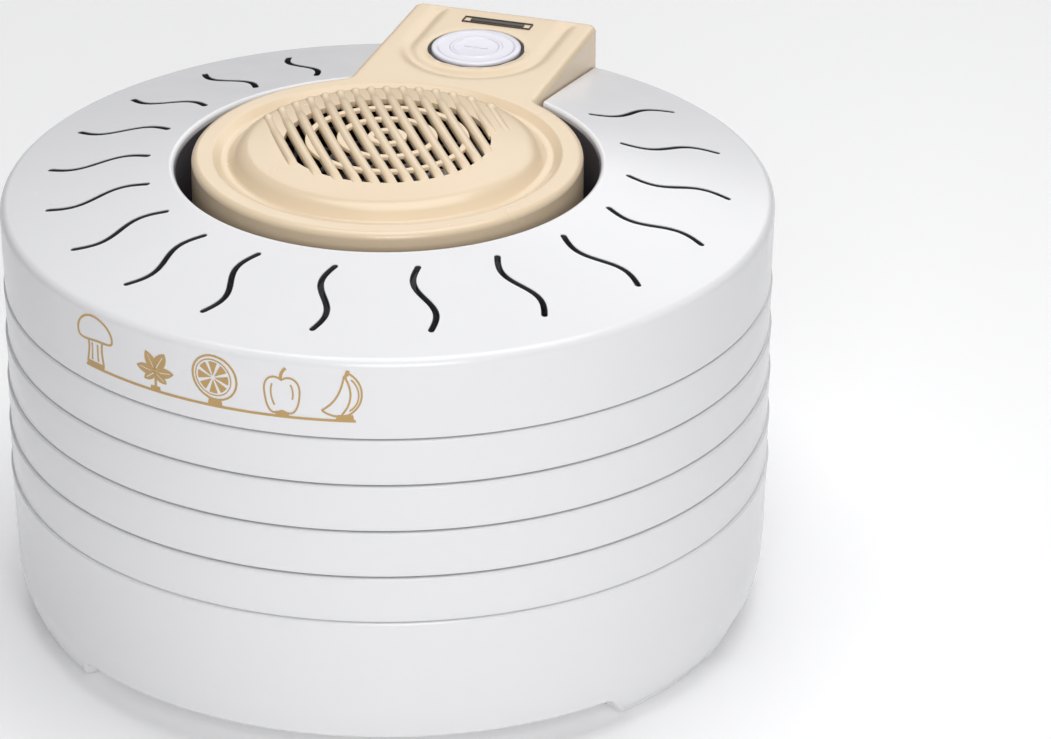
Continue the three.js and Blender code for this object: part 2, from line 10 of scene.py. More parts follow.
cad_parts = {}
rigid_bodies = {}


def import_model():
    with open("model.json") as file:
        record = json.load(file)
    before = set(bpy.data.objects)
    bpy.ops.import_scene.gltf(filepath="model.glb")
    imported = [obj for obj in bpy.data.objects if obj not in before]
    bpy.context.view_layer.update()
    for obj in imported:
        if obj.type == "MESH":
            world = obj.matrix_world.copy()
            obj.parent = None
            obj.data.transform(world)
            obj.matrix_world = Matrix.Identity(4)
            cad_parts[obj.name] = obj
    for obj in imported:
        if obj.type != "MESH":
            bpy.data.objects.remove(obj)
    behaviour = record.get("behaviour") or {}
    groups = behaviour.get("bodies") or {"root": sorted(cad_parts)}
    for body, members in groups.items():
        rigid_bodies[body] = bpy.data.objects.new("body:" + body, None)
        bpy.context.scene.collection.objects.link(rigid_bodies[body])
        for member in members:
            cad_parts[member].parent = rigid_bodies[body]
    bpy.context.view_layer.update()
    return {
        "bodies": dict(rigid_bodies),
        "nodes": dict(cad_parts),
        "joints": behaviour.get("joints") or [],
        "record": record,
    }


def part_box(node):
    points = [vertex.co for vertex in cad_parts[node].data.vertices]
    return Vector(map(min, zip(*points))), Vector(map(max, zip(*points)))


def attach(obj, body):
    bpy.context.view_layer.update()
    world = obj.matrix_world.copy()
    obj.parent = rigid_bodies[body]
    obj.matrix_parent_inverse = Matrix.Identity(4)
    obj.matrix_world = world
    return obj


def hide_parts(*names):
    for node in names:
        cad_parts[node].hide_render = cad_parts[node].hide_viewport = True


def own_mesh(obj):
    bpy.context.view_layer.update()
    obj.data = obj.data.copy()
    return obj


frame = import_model()

MM = 0.001
SEGMENTS = 288            # facets round the large rings
SEAM_GAP = 0.3            # between two stacked pieces
HALF_GAP = SEAM_GAP / 2   # from a seam to the piece above or below it
SHADOW_GAP = 0.45         # extra gap above each tray's rim
WALL = 2.5


def node_box(node):
    """Lowest and highest corners of a CAD node in millimetres."""
    low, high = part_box(node)
    return low / MM, high / MM


# Driving dimensions, read from the frame
LID_HIGH = node_box("lid_cover")[1]
HEAD_LOW, HEAD_HIGH = node_box("top_housing")
BUTTON_LOW, BUTTON_HIGH = node_box("power_button")
BADGE_LOW, BADGE_HIGH = node_box("badge_plate")
GUARD_LOW, GUARD_HIGH = node_box("intake_guard")
SPRING_LOW, SPRING_HIGH = node_box("button_spring")
OUTER = LID_HIGH.x        # outer radius of the stack
WELL_EDGE = LID_HIGH.z
BOWL_TOP = node_box("base_bowl")[1].z
LID_SEAM = node_box("tray_1_ring")[1].z + HALF_GAP
HEAD_RADIUS = HEAD_HIGH.x
HEAD_TOP = BADGE_LOW.z - SEAM_GAP
HEAD_BOTTOM = HEAD_LOW.z
DOME_TOP = HEAD_HIGH.z
TONGUE_END = HEAD_HIGH.y
BUTTON_Y = (BUTTON_LOW.y + BUTTON_HIGH.y) / 2

# Details that the CAD part also has, which its boxes don't give
FLOOR_HEIGHT = 13.5       # underside of the bowl between its feet
SKIRT_RADIUS = 160.9
SKIRT_INNER = 158.5
SKIRT_DROP = 3.5
LID_EDGE = 189.7
WELL_RADIUS = 90.7
WELL_FLOOR = 161.5
TROUGH_HALF = 43.8
TROUGH_FLOOR = 185.3
SLOT_FIRST = 37           # degrees from the tongue to the first vent
SLOT_STEPS = 8            # vents to each side of the middle one
SLOT_PITCH_NEAR = 16.4
SLOT_PITCH_FAR = 19
SLOT_INNER = 103
SLOT_OUTER = 145
SLOT_WAVE = 3.3
SLOT_WIDTH = 2.8
TONGUE_HALF = 43
TONGUE_BOTTOM = 186

# Details of the visual pieces
FOOT_ANGLES = [100, 220, 340]
FOOT_HALF = 10.0          # degrees of full height to each side of a foot's middle
FOOT_FLANK = 6.0          # degrees over which a foot then dies away
CONE_EDGE = LID_EDGE + 0.3
TONGUE_CORNER = 4.5
TONGUE_FILLET = 6
TONGUE_START = 60         # distance from the axis where the tongue is wholly in the disc
HEAD_ROUND = 3            # rounding of the power unit's top edge
GROOVE_OUTER = 76
GROOVE_STEPS = 240
BUTTON_HOLE = 21.5
BUTTON_HOLE_STEPS = 96
SLAT_PITCH = 6.85
SLAT_WIDTH = 4.3
SLAT_LIFT = 1.35          # top of a slat above the dome
SLAT_TURN = radians(-57)
SLAT_REACH = 61           # far ends; the near ends stop at the edge of the opening
GRILLE_RADIUS = 44


# ---------------- mesh helpers

def rounded_path(points, closed=True, arc_steps=6):
    """Turns (x, y) or (x, y, fillet) points into a path with rounded corners."""
    result = []
    count = len(points)
    for i, point in enumerate(points):
        fillet = point[2] if len(point) > 2 else 0
        corner = Vector(point[:2])
        is_end = not closed and i in (0, count - 1)
        if fillet == 0 or is_end:
            result.append((corner.x, corner.y))
            continue
        before = (Vector(points[i - 1][:2]) - corner).normalized()
        after = (Vector(points[(i + 1) % count][:2]) - corner).normalized()
        angle = before.angle(after)
        reach = fillet / tan(angle / 2)
        centre = corner + (before + after).normalized() * (fillet / sin(angle / 2))
        start = corner + before * reach - centre
        finish = corner + after * reach - centre
        sweep = start.angle_signed(finish)
        for k in range(arc_steps + 1):
            spoke = start.copy()
            spoke.rotate(Matrix.Rotation(-sweep * k / arc_steps, 2))
            result.append(tuple(centre + spoke))
    return result


def new_object(name, bm, sharp_angle=35):
    """Makes a smooth-shaded object, in metres, from a bmesh in millimetres."""
    bmesh.ops.remove_doubles(bm, verts=bm.verts, dist=1e-4)
    bmesh.ops.dissolve_degenerate(bm, edges=bm.edges, dist=1e-5)
    bmesh.ops.recalc_face_normals(bm, faces=bm.faces)
    bmesh.ops.scale(bm, verts=bm.verts, vec=(MM, MM, MM))
    mesh = bpy.data.meshes.new(name)
    bm.to_mesh(mesh)
    bm.free()
    return finish_object(name, mesh, sharp_angle)


def finish_object(name, mesh, sharp_angle=35):
    """Puts a finished mesh in the scene, smooth but for its sharp edges."""
    mesh.shade_smooth()
    mesh.set_sharp_from_angle(angle=radians(sharp_angle))
    obj = bpy.data.objects.new(name, mesh)
    bpy.context.scene.collection.objects.link(obj)
    return obj


def revolve_into(bm, path, segments=SEGMENTS, closed=True):
    """Adds the surface swept by an (r, z) path about the Z axis."""
    rings = []
    for k in range(segments):
        angle = tau * k / segments
        c, s = cos(angle), sin(angle)
        rings.append([bm.verts.new((r * c, r * s, z)) for r, z in path])
    last = len(path) if closed else len(path) - 1
    for k in range(segments):
        a, b = rings[k], rings[(k + 1) % segments]
        for i in range(last):
            j = (i + 1) % len(path)
            bm.faces.new((a[i], b[i], b[j], a[j]))


def revolved(name, points, segments=SEGMENTS, arc_steps=6):
    """Closed body of revolution from (r, z) or (r, z, fillet) points."""
    bm = bmesh.new()
    revolve_into(bm, rounded_path(points, True, arc_steps), segments)
    return new_object(name, bm)


def ring_into(bm, inner, outer, bottom, top, segments=144):
    """Adds a flat ring with softened edges."""
    soften = 0.4
    path = rounded_path([(inner, bottom, soften), (outer, bottom, soften),
                         (outer, top, soften), (inner, top, soften)], True, 3)
    revolve_into(bm, path, segments)


def prism_into(bm, outline, bottom, top, turn=0.0):
    """Adds a closed prism on an (x, y) outline."""
    c, s = cos(turn), sin(turn)
    flat = [(x * c - y * s, x * s + y * c) for x, y in outline]
    low = [bm.verts.new((x, y, bottom)) for x, y in flat]
    high = [bm.verts.new((x, y, top)) for x, y in flat]
    bm.faces.new(list(reversed(low)))
    bm.faces.new(high)
    for i in range(len(flat)):
        j = (i + 1) % len(flat)
        bm.faces.new((low[i], low[j], high[j], high[i]))


def prism(name, outline, bottom, top):
    bm = bmesh.new()
    prism_into(bm, outline, bottom, top)
    return new_object(name, bm)


def loft(bm, loops):
    """Joins successive closed rings of (x, y, z) points that match one to one."""
    rows = [[bm.verts.new(p) for p in loop] for loop in loops]
    for a, b in zip(rows, rows[1:]):
        for i in range(len(a)):
            j = (i + 1) % len(a)
            bm.faces.new((a[i], a[j], b[j], b[i]))
    return rows


def capped_loft(bm, loops):
    """A loft with a face over each end."""
    rows = loft(bm, loops)
    bm.faces.new(rows[0])
    bm.faces.new(rows[-1])


def rectangle(half_width, front, back):
    return [(-half_width, front), (half_width, front), (half_width, back), (-half_width, back)]


def circle_outline(radius, count, x=0.0, y=0.0):
    angles = [tau * k / count for k in range(count)]
    return [(x + radius * cos(a), y + radius * sin(a)) for a in angles]


def smooth(t):
    """S-shaped rise from 0 to 1."""
    t = min(max(t, 0.0), 1.0)
    return t * t * (3 - 2 * t)


def outline_edges(loops):
    """Points of several closed outlines in one list, and the edges that close each outline."""
    points, edges = [], []
    for loop in loops:
        start, count = len(points), len(loop)
        edges += [(start + i, start + (i + 1) % count) for i in range(count)]
        points += [Vector(p) for p in loop]
    return points, edges


def inside(point, outline):
    """True where a point lies within an outline of (x, y) points."""
    hit = False
    for i, (bx, by) in enumerate(outline):
        ax, ay = outline[i - 1]
        if (ay > point.y) != (by > point.y):
            if point.x < ax + (point.y - ay) / (by - ay) * (bx - ax):
                hit = not hit
    return hit


def triangulated(points, edges, wanted):
    """Plane triangles on the given points and edges, where wanted(centre) is true."""
    verts, _, faces, _, _, _ = delaunay_2d_cdt(points, edges, [], 0, 1e-6)
    kept = []
    for face in faces:
        centre = sum((verts[i] for i in face), Vector((0, 0))) / len(face)
        if wanted(centre):
            kept.append(face)
    return verts, kept


def combine(target, other, operation):
    """Applies one boolean to the target and removes the other object."""
    modifier = target.modifiers.new("combine", "BOOLEAN")
    modifier.object = other
    modifier.operation = operation
    modifier.solver = "MANIFOLD"
    depsgraph = bpy.context.evaluated_depsgraph_get()
    mesh = bpy.data.meshes.new_from_object(target.evaluated_get(depsgraph))
    target.modifiers.clear()
    target.data = mesh
    bpy.data.objects.remove(other)


def reshade(obj, sharp_angle=35):
    """Shades an object again after booleans or joining, with flat faces kept flat."""
    obj.data.shade_smooth()
    obj.data.set_sharp_from_angle(angle=radians(sharp_angle))
    modifier = obj.modifiers.new("weighted normals", "WEIGHTED_NORMAL")
    modifier.keep_sharp = True
    modifier.weight = 60


def joined(name, objects):
    """Joins closed parts into one object."""
    bm = bmesh.new()
    for obj in objects:
        bm.from_mesh(obj.data)
        bpy.data.objects.remove(obj)
    mesh = bpy.data.meshes.new(name)
    bm.to_mesh(mesh)
    bm.free()
    return finish_object(name, mesh)


# ---------------- materials

def socket(node, name, value):
    node.inputs[name].default_value = value


def new_material(name):
    """Node-based material, with its node tree and its shader."""
    material = bpy.data.materials.new(name)
    material.use_nodes = True
    return material, material.node_tree, material.node_tree.nodes["Principled BSDF"]


def add_node(tree, kind, **values):
    """New shader node; each value goes to the input of that name, with _ for a space."""
    node = tree.nodes.new(kind)
    for name, value in values.items():
        socket(node, name.replace("_", " "), value)
    return node


def moulded(name, colour, roughness, grain=0.02, grain_scale=900, mottling=0.03):
    """Moulded plastic: faint colour mottling, uneven gloss and a fine surface grain."""
    gloss_variation = 0.06
    material, tree, shader = new_material(name)
    position = add_node(tree, "ShaderNodeTexCoord")
    clouds = add_node(tree, "ShaderNodeTexNoise", Scale=14, Detail=4)
    tint = add_node(tree, "ShaderNodeMapRange", To_Min=1 - mottling, To_Max=1.0)
    shade = add_node(tree, "ShaderNodeMix")
    shade.data_type = "RGBA"
    shade.blend_type = "MULTIPLY"
    factor, first, second, result = 0, 6, 7, 2    # sockets of a colour mix
    socket(shade, factor, 1.0)
    socket(shade, first, (*colour, 1))
    gloss_noise = add_node(tree, "ShaderNodeTexNoise", Scale=60, Detail=3)
    gloss = add_node(tree, "ShaderNodeMapRange", To_Min=roughness - gloss_variation,
                     To_Max=roughness + gloss_variation)
    fine = add_node(tree, "ShaderNodeTexNoise", Scale=grain_scale, Detail=2)
    bump = add_node(tree, "ShaderNodeBump", Strength=grain, Distance=0.001)
    link = tree.links.new
    for noise in (clouds, gloss_noise, fine):
        link(position.outputs["Object"], noise.inputs["Vector"])
    link(clouds.outputs["Fac"], tint.inputs["Value"])
    link(tint.outputs["Result"], shade.inputs[second])
    link(shade.outputs[result], shader.inputs["Base Color"])
    link(gloss_noise.outputs["Fac"], gloss.inputs["Value"])
    link(gloss.outputs["Result"], shader.inputs["Roughness"])
    link(fine.outputs["Fac"], bump.inputs["Height"])
    link(bump.outputs["Normal"], shader.inputs["Normal"])
    return material


def metallic(name, colour, roughness, streak_scale=(40, 40, 1400)):
    """Metal with fine drawn streaks that vary its colour and gloss."""
    darkest, wear = 0.72, 0.12
    material, tree, shader = new_material(name)
    socket(shader, "Metallic", 1.0)
    position = add_node(tree, "ShaderNodeTexCoord")
    stretch = add_node(tree, "ShaderNodeMapping", Scale=streak_scale)
    streaks = add_node(tree, "ShaderNodeTexNoise", Scale=1.0, Detail=4)
    ramp = add_node(tree, "ShaderNodeValToRGB")
    dark_end, light_end = ramp.color_ramp.elements
    dark_end.position = 0.3
    dark_end.color = (*[v * darkest for v in colour], 1)
    light_end.position = 0.7
    light_end.color = (*colour, 1)
    gloss = add_node(tree, "ShaderNodeMapRange", To_Min=roughness, To_Max=roughness + wear)
    bump = add_node(tree, "ShaderNodeBump", Strength=0.08, Distance=0.0005)
    link = tree.links.new
    link(position.outputs["Object"], stretch.inputs["Vector"])
    link(stretch.outputs["Vector"], streaks.inputs["Vector"])
    link(streaks.outputs["Fac"], ramp.inputs["Fac"])
    link(ramp.outputs["Color"], shader.inputs["Base Color"])
    link(streaks.outputs["Fac"], gloss.inputs["Value"])
    link(gloss.outputs["Result"], shader.inputs["Roughness"])
    link(streaks.outputs["Fac"], bump.inputs["Height"])
    link(bump.outputs["Normal"], shader.inputs["Normal"])
    return material


MATERIALS = {
    "white_shell": moulded("white_shell", (0.86, 0.86, 0.875), 0.24, grain=0.012, mottling=0.02),
    "cream_shell": moulded("cream_shell", (0.84, 0.675, 0.475), 0.25, grain=0.02, mottling=0.03),
    "rubber_foot": moulded("rubber_foot", (0.30, 0.30, 0.31), 0.75, grain=0.25, grain_scale=500),
    # black_moulding is the guard's own colour, and is also used as painted shade on the shroud and
    # on the ring round the button
    "black_moulding": moulded("black_moulding", (0.018, 0.018, 0.02), 0.5, grain=0.1),
    "fan_plastic": moulded("fan_plastic", (0.03, 0.032, 0.036), 0.4, grain=0.05),
    "copper_winding": metallic("copper_winding", (0.72, 0.33, 0.16), 0.28, (900, 20, 20)),
    "lamination": metallic("lamination", (0.24, 0.25, 0.27), 0.4, (10, 10, 2200)),
    "insulator": moulded("insulator", (0.46, 0.37, 0.24), 0.55, grain=0.2, mottling=0.25),
    "lead_sleeve": moulded("lead_sleeve", (0.10, 0.014, 0.012), 0.45, grain=0.05),
    "button_plastic": moulded("button_plastic", (0.80, 0.79, 0.86), 0.2, grain=0.01,
                              mottling=0.015),
    "badge": moulded("badge", (0.055, 0.045, 0.035), 0.4, grain=0.05),
    # painted shade: this dark colour stands in for the shade inside the lid's well
    "well_shade_liner": moulded("well_shade_liner", (0.085, 0.08, 0.1), 0.55, grain=0.06),
    # painted shade: this dark colour stands in for the shade inside the vents
    "vent_shade_lining": moulded("vent_shade_lining", (0.055, 0.055, 0.06), 0.6, grain=0.05),
    "steel": metallic("steel", (0.62, 0.63, 0.65), 0.25),
    "gold_print": moulded("gold_print", (0.56, 0.36, 0.135), 0.42, grain=0.03, mottling=0.08),
}


def place(obj, body, material, replaces=()):
    """Gives a finished piece its material, its body and the CAD nodes it stands for."""
    obj.data.materials.clear()
    obj.data.materials.append(MATERIALS[material])
    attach(obj, body)
    if replaces:
        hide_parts(*replaces)
    return obj


# ---------------- bowl and trays

def foot_share(angle):
    """1 on a foot, 0 between feet, with an S-shaped flank; angle in degrees."""
    nearest = min(abs((angle - foot + 180) % 360 - 180) for foot in FOOT_ANGLES)
    return 1 - smooth((nearest - FOOT_HALF) / FOOT_FLANK)


def bowl():
    """Footed bowl: the wall runs down into three hollow feet, and the floor sits between them."""
    wall = [(148, 0), (152, 1.2), (155.4, 5.2), (158, 10), (160.6, 17), (162.4, 25),
            (163.2, 40), (163.6, 55), (163.9, BOWL_TOP - 6), (164.6, BOWL_TOP - 1)]
    foot_inner, foot_slope = 130, 8
    lip_height, lip_inset = 3.0, 4.2
    wall_rows, lip_rows, under_rows = 25, 6, 22
    under_reach = 112

    def wall_radius(z):
        """Radius of the wall's outline of straight stretches."""
        for (r0, z0), (r1, z1) in zip(wall, wall[1:]):
            if z <= z1:
                return r0 + (r1 - r0) * max(z - z0, 0) / (z1 - z0)
        return wall[-1][0]

    def smooth_radius(z):
        """The same outline with its corners averaged away."""
        return sum(wall_radius(z + step) for step in (-3, -1.5, 0, 1.5, 3)) / 5

    def outside(angle):
        """Outer (r, z) path at an angle, from the rim down the wall and in under the floor."""
        low = FLOOR_HEIGHT * (1 - foot_share(angle))
        path = [(164.2, BOWL_TOP - 0.2), (164.55, BOWL_TOP - 0.8)]
        edge = low + lip_height
        for k in range(wall_rows + 1):
            z = (BOWL_TOP - 1.5) + (edge - BOWL_TOP + 1.5) * k / wall_rows
            path.append((smooth_radius(z), z))
        radius = smooth_radius(edge)
        for k in range(1, lip_rows + 1):
            turn = pi / 2 * k / lip_rows
            path.append((radius - lip_inset * (1 - cos(turn)),
                         edge - lip_height * sin(turn)))
        start = radius - lip_inset
        for k in range(1, under_rows + 1):
            r = start + (under_reach - start) * k / under_rows
            z = low + (FLOOR_HEIGHT - low) * smooth((foot_inner - r) / foot_slope)
            path.append((r, z))
        path += [(60, FLOOR_HEIGHT), (0, FLOOR_HEIGHT)]
        return path

    inner = rounded_path([(0, FLOOR_HEIGHT + WALL), (156, FLOOR_HEIGHT + WALL, 6),
                          (160.1, 28, 8), (161, 55, 20), (162, BOWL_TOP, 0.4)], False)
    bm = bmesh.new()
    columns = []
    for k in range(SEGMENTS):
        degrees = 360 * k / SEGMENTS
        c, s = cos(radians(degrees)), sin(radians(degrees))
        path = inner + [(163.2, BOWL_TOP)] + outside(degrees)
        columns.append([bm.verts.new((r * c, r * s, z)) for r, z in path])
    for k in range(SEGMENTS):
        a, b = columns[k], columns[(k + 1) % SEGMENTS]
        for i in range(len(a) - 1):
            bm.faces.new((a[i], b[i], b[i + 1], a[i + 1]))
    return new_object("bowl_shell", bm)


def web_into(bm, rings, spokes, rib, bottom, top):
    """Adds a flat web of square-cut openings: rings lists (inner, outer) radii of each row."""
    for inner, outer in rings:
        for k in range(spokes):
            start, end = tau * k / spokes, tau * (k + 1) / spokes
            outer_loop, hole_loop = [], []
            half_in, half_out = rib / 2 / (inner + rib / 2), rib / 2 / (outer - rib / 2)
            for radius, angle, hole_radius, hole_angle in (
                    (inner, start, inner + rib / 2, start + half_in),
                    (inner, end, inner + rib / 2, end - half_in),
                    (outer, end, outer - rib / 2, end - half_out),
                    (outer, start, outer - rib / 2, start + half_out)):
                outer_loop.append((radius * cos(angle), radius * sin(angle)))
                hole_loop.append((hole_radius * cos(hole_angle),
                                  hole_radius * sin(hole_angle)))
            grid = [[bm.verts.new((x, y, z)) for x, y in loop]
                    for loop, z in ((outer_loop, top), (hole_loop, top),
                                    (hole_loop, bottom), (outer_loop, bottom))]
            for a, b in zip(grid, grid[1:]):
                for i in range(4):
                    j = (i + 1) % 4
                    bm.faces.new((a[i], a[j], b[j], b[i]))


def web_rows(start, depth):
    """Inner and outer radius of each of five rows of openings."""
    return [(start + depth * k, start + depth * (k + 1)) for k in range(5)]


def tray_mesh():
    """One tray about its own seam at z = 0: softly rounded wall, skirt, open floor and hub."""
    rim = node_box("tray_1_ring")[1].z - node_box("tray_2_ring")[1].z - HALF_GAP - SHADOW_GAP
    bm = bmesh.new()
    wall = [(163.6, HALF_GAP, 0.35), (164.0, 9, 40), (164.6, rim, 0.9), (162, rim, 0.5),
            (160.9, 6, 2), (SKIRT_INNER, 4.6), (SKIRT_INNER, -SKIRT_DROP, 0.5),
            (SKIRT_RADIUS, -SKIRT_DROP, 0.5), (SKIRT_RADIUS, HALF_GAP)]
    revolve_into(bm, rounded_path(wall, True, 5))
    floor, top, rib = 2.5, 4.7, 2.6
    hub, hub_height, ring_half, bars = 32, 12, 1.6, 12
    web_into(bm, web_rows(96, 12.5), 72, rib, floor, top)
    web_into(bm, web_rows(36, 11.6), 36, rib, floor, top)
    for radius in (95.2, 157.6):
        ring_into(bm, radius - ring_half, radius + ring_half, floor - 0.2, top + 0.2)
    ring_into(bm, hub, hub + 5, floor - 0.2, top)
    ring_into(bm, hub, hub + 2.2, floor, hub_height)
    for k in range(bars):
        angle = tau * k / bars
        prism_into(bm, rectangle(rib / 2, hub + 3, 158), floor - 0.4, top + 0.4, angle)
    bmesh.ops.scale(bm, verts=bm.verts, vec=(MM, MM, MM))
    bmesh.ops.recalc_face_normals(bm, faces=bm.faces)
    mesh = bpy.data.meshes.new("tray_moulding")
    bm.to_mesh(mesh)
    bm.free()
    return mesh


def make_trays():
    """Places one copy of the tray's mesh at each tray's seam."""
    mesh = tray_mesh()
    for number in range(1, 5):
        obj = finish_object(f"tray_moulding_{number}", mesh.copy())
        seam = node_box(f"tray_{number}_ring")[0].z + SKIRT_DROP
        obj.data.transform(Matrix.Translation((0, 0, seam * MM)))
        place(obj, f"tray_{number}_body", "white_shell",
              replaces=[f"tray_{number}_ring", f"tray_{number}_floor"])
    bpy.data.meshes.remove(mesh)


# ---------------- lid

def lid_skin():
    """The lid's outer outline from its lower edge to the rim of the well."""
    return [(163.9, LID_SEAM + HALF_GAP, 0.35), (164.5, LID_SEAM + 16, 60),
            (OUTER, CONE_EDGE, 4.2), (WELL_RADIUS, WELL_EDGE, 1.8)]


def cone_height(radius):
    """Height of the lid's conical top."""
    return CONE_EDGE + (WELL_EDGE - CONE_EDGE) * (OUTER - radius) / (OUTER - WELL_RADIUS)


def vent_outline(width=SLOT_WIDTH):
    """A wavy slot with round ends, along +Y."""
    steps, cap_steps = 28, 8
    left, right = [], []
    reach = SLOT_OUTER - SLOT_INNER
    for i in range(steps + 1):
        t = i / steps
        y = SLOT_INNER + reach * t
        wave = SLOT_WAVE * sin(tau * t)
        slope = SLOT_WAVE * tau / reach * cos(tau * t)
        across = Vector((1, -slope)).normalized() * width / 2
        left.append((wave - across.x, y - across.y))
        right.append((wave + across.x, y + across.y))

    def cap(y, start):
        """Half circle round the middle of one end, clockwise from an angle."""
        angles = [start - pi * k / cap_steps for k in range(1, cap_steps)]
        return [(width / 2 * cos(a), y + width / 2 * sin(a)) for a in angles]

    lean = atan2(-SLOT_WAVE * tau / reach, 1)
    return left + cap(SLOT_OUTER, lean + pi) + right[::-1] + cap(SLOT_INNER, lean)


def vent_angles():
    """Turn of each vent from the tongue; those after the middle one stand further apart."""
    near = [SLOT_FIRST + SLOT_PITCH_NEAR * k for k in range(SLOT_STEPS + 1)]
    far = [near[-1] + SLOT_PITCH_FAR * k for k in range(1, SLOT_STEPS + 1)]
    return [radians(angle) for angle in near + far]


def vent_shade_lining():
    """Thin dark sleeves that line the wavy slots and leave them open; they are painted shade inside
    the slots.
    """
    bm = bmesh.new()
    outer = vent_outline(SLOT_WIDTH + 0.02)
    inner = vent_outline(SLOT_WIDTH - 0.5)
    top, bottom = 0.35, 3.0
    for angle in vent_angles():
        turn = Matrix.Rotation(angle, 3, "Z")
        loops = []
        for points, drop in ((outer, bottom), (outer, top), (inner, top), (inner, bottom),
                             (outer, bottom)):
            loops.append([turn @ Vector((x, y, cone_height(hypot(x, y)) - drop))
                          for x, y in points])
        loft(bm, loops)
    return new_object("vent_shade_lining", bm, 60)


def well_shade_liner():
    """Dark sleeve round the inside of the well, below its rolled white rim; it is painted shade for
    the well's shadowed recess.
    """
    top, low, ledge = WELL_EDGE - 2.9, WELL_FLOOR + 0.4, 84.0
    path = [(WELL_RADIUS, low), (WELL_RADIUS, top, 0.3), (90.1, top - 0.4, 0.3),
            (89.8, low + 0.6, 0.4), (ledge, low + 0.6, 0.3), (ledge, low)]
    liner = revolved("well_shade_liner", path)
    notch = prism("notch", rectangle(TROUGH_HALF, 60, 100), TROUGH_FLOOR - 0.2, 215)
    combine(liner, notch, "DIFFERENCE")
    reshade(liner)
    return liner


def lid():
    """Conical cover with its well, the trough for the tongue and the wavy vents."""
    skin = lid_skin()
    inner = [(90.4, WELL_FLOOR, 0.6), (80, WELL_FLOOR, 0.8), (80, WELL_FLOOR - WALL, 0.8),
             (93, WELL_FLOOR - WALL, 1), (93.4, WELL_EDGE - 3, 1), (162.4, LID_EDGE - 2.6, 2.5),
             (161.6, LID_SEAM + 3, 1), (SKIRT_INNER, LID_SEAM + 0.5),
             (SKIRT_INNER, LID_SEAM - SKIRT_DROP, 0.5),
             (SKIRT_RADIUS, LID_SEAM - SKIRT_DROP, 0.5), (SKIRT_RADIUS, LID_SEAM + HALF_GAP)]
    shell = revolved("lid_shell", skin + inner, arc_steps=8)
    envelope_path = [(0, LID_SEAM + HALF_GAP)] + skin[:3] + [(88, WELL_EDGE), (0, WELL_EDGE)]
    envelope = revolved("envelope", envelope_path)
    trough_outline = rectangle(TROUGH_HALF + WALL, TONGUE_START, 163.5)
    trough = prism("trough", trough_outline, TROUGH_FLOOR - WALL, 210)
    combine(trough, envelope, "INTERSECT")
    bore = circle_outline(WELL_RADIUS + 0.6, SEGMENTS)
    combine(trough, prism("bore", bore, 150, 220), "DIFFERENCE")
    combine(shell, trough, "UNION")
    channel_outline = rectangle(TROUGH_HALF, TONGUE_START, 180)
    combine(shell, prism("channel", channel_outline, TROUGH_FLOOR, 220), "DIFFERENCE")
    bm = bmesh.new()
    outline = vent_outline()
    for angle in vent_angles():
        prism_into(bm, outline, 180, 215, angle)
    combine(shell, new_object("vents", bm), "DIFFERENCE")
    reshade(shell, 40)
    return shell


# ---------------- power unit

TO_BUTTON = Matrix.Translation((0, BUTTON_Y * MM, 0))


def head_outline(inset):
    """Plan outline of the power unit: a disc with a tongue, offset inwards by inset."""
    points = []
    radius = HEAD_RADIUS - inset
    half, fillet, corner = TONGUE_HALF - inset, TONGUE_FILLET + inset, TONGUE_CORNER - inset
    end = TONGUE_END - inset
    cx = TONGUE_HALF + TONGUE_FILLET
    cy = sqrt((HEAD_RADIUS + TONGUE_FILLET) ** 2 - cx ** 2)
    touch = atan2(cy, cx)
    disc_steps, fillet_steps, corner_steps = 120, 8, 8
    for k in range(disc_steps + 1):
        angle = -pi / 2 + (touch + pi / 2) * k / disc_steps
        points.append((radius * cos(angle), radius * sin(angle)))
    for k in range(1, fillet_steps + 1):
        angle = touch + pi - touch * k / fillet_steps
        points.append((cx + fillet * cos(angle), cy + fillet * sin(angle)))
    side_steps = 24
    for k in range(1, side_steps):
        points.append((half, cy + (end - corner - cy) * k / side_steps))
    for k in range(corner_steps + 1):
        angle = pi / 2 * k / corner_steps
        points.append((half - corner + corner * cos(angle),
                       end - corner + corner * sin(angle)))
    back_steps = 20
    for k in range(1, back_steps):
        points.append(((half - corner) * (1 - 2 * k / back_steps), end))
    mirrored = [(-x, y) for x, y in reversed(points[:-(back_steps - 1)])]
    points += mirrored[:-1]
    return points


def channel_depth(x, y):
    """Depth of the soft U-shaped channel round the button."""
    reach, half_width, depth = 30.2, 4.4, 1.3
    if y < BUTTON_Y:
        distance = abs(hypot(x, y - BUTTON_Y) - reach)
    else:
        distance = abs(abs(x) - reach)
    fade = smooth((TONGUE_END - 1 - y) / 7)
    return depth * fade * smooth(1 - distance / half_width)


def dome_height(r):
    """Height of the dome's outer surface, a shallow spherical cap under the slats' tops."""
    edge_radius, edge_height = 63, 212.3
    crown = DOME_TOP - SLAT_LIFT
    rise = crown - edge_height
    sphere = (edge_radius ** 2 + rise ** 2) / (2 * rise)
    return crown - sphere + sqrt(sphere ** 2 - r ** 2)


def fill_deck(bm, points, edges, outline, height):
    """Triangles over the cover's plan at height(x, y), save the grille and the button's hole."""
    hole = Vector((0, BUTTON_Y))

    def on_deck(centre):
        over_hole = centre.length < GROOVE_OUTER or (centre - hole).length < BUTTON_HOLE
        return not over_hole and inside(centre, outline)

    verts, faces = triangulated(points, edges, on_deck)
    made = [bm.verts.new((v.x, v.y, height(v.x, v.y))) for v in verts]
    for face in faces:
        bm.faces.new([made[i] for i in face])


